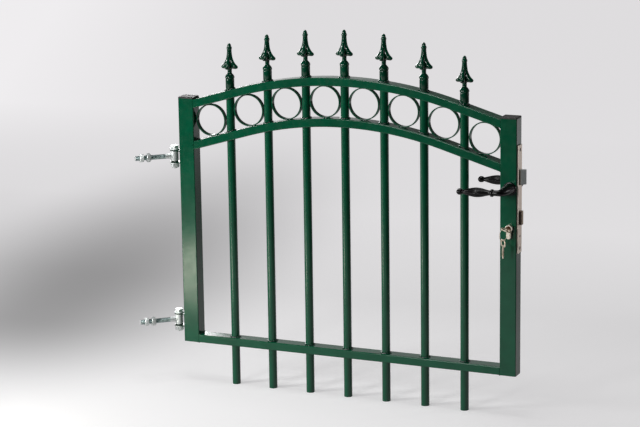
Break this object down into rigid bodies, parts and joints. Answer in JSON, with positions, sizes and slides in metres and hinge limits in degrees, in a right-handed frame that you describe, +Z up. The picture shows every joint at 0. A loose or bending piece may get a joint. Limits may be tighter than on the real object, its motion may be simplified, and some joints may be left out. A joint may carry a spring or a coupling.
{
  "type": "garden gate",
  "caption": "Arched garden gate leaf of box tube and round bars with spear heads, rings between twin arches, mortise lock with lever handles, and adjustable eye-bolt hinges.",
  "frame": {"origin": "on the rod's axis in the bearing face of the lower eye bolt's inner nut, where the post's plate or flange clamps", "axes": "+X across the leaf from the hinge side to the lock side; -Y is the front, where the key is; +Z is up"},
  "size_m": [0.9817, 0.1684, 0.896],
  "materials": {
    "green_powder_coat": "fine-textured green powder coat",
    "black_plastic": "matt moulded",
    "bright_zinc": "bright zinc plating",
    "stainless_steel": "brushed",
    "nickel_plate": "satin nickel",
    "black_lacquer": "satin black lacquer on cast aluminium"
  },
  "bodies": {
    "post_side": {"lower_eye_bolt": "bright_zinc", "upper_eye_bolt": "bright_zinc"},
    "leaf": {"hinge_stile": "green_powder_coat", "lock_stile": "green_powder_coat", "hinge_stile_cap": "black_plastic", "lock_stile_cap": "black_plastic", "bottom_rail": "green_powder_coat", "upper_arch_rail": "green_powder_coat", "lower_arch_rail": "green_powder_coat", "picket_1": "green_powder_coat", "picket_2": "green_powder_coat", "picket_3": "green_powder_coat", "picket_4": "green_powder_coat", "picket_5": "green_powder_coat", "picket_6": "green_powder_coat", "picket_7": "green_powder_coat", "spear_head_1": "green_powder_coat", "spear_head_2": "green_powder_coat", "spear_head_3": "green_powder_coat", "spear_head_4": "green_powder_coat", "spear_head_5": "green_powder_coat", "spear_head_6": "green_powder_coat", "spear_head_7": "green_powder_coat", "ring_1": "green_powder_coat", "ring_2": "green_powder_coat", "ring_3": "green_powder_coat", "ring_4": "green_powder_coat", "ring_5": "green_powder_coat", "ring_6": "green_powder_coat", "ring_7": "green_powder_coat", "ring_8": "green_powder_coat", "lower_hinge_bracket": "green_powder_coat", "upper_hinge_bracket": "green_powder_coat", "lower_hinge_pin": "bright_zinc", "upper_hinge_pin": "bright_zinc", "lock_case": "stainless_steel", "lock_cylinder": "nickel_plate"},
    "handles": {"handle_spindle": "bright_zinc", "front_handle": "black_lacquer", "rear_handle": "black_lacquer"},
    "latch": {"latch_bolt": "bright_zinc"},
    "bolt": {"dead_bolt": "stainless_steel"},
    "key": {"cylinder_plug": "nickel_plate", "door_key": "nickel_plate", "key_ring": "nickel_plate", "spare_key": "nickel_plate"}
  },
  "joints": [
    {"name": "gate_swing", "type": "hinge", "parent": "post_side", "child": "leaf", "pos_m": [0.05276, 0.04751, 0], "axis": [0, 0, 1], "range_deg": [-48, 42]},
    {"name": "handle_turn", "type": "hinge", "parent": "leaf", "child": "handles", "pos_m": [0.92476, 0.04751, 0.3985], "axis": [0, -1, 0], "range_deg": [0, 45], "stiffness_Nm_per_rad": 1.2, "springref_deg": -17.19},
    {"name": "latch_slide", "type": "slide", "parent": "leaf", "child": "latch", "axis": [-1, 0, 0], "range_m": [0, 0.0125]},
    {"name": "key_turn", "type": "hinge", "parent": "leaf", "child": "key", "pos_m": [0.92476, 0.04751, 0.3055], "axis": [0, 1, 0], "range_deg": [-70, 290]},
    {"name": "bolt_slide", "type": "slide", "parent": "leaf", "child": "bolt", "axis": [1, 0, 0], "range_m": [-0.0031, 0.0129]}
  ],
  "couplings": [
    {"joint": "latch_slide", "follows": "handle_turn", "m_per_rad": 0.0159},
    {"joint": "bolt_slide", "follows": "key_turn", "m_per_rad": 0.00253}
  ]
}
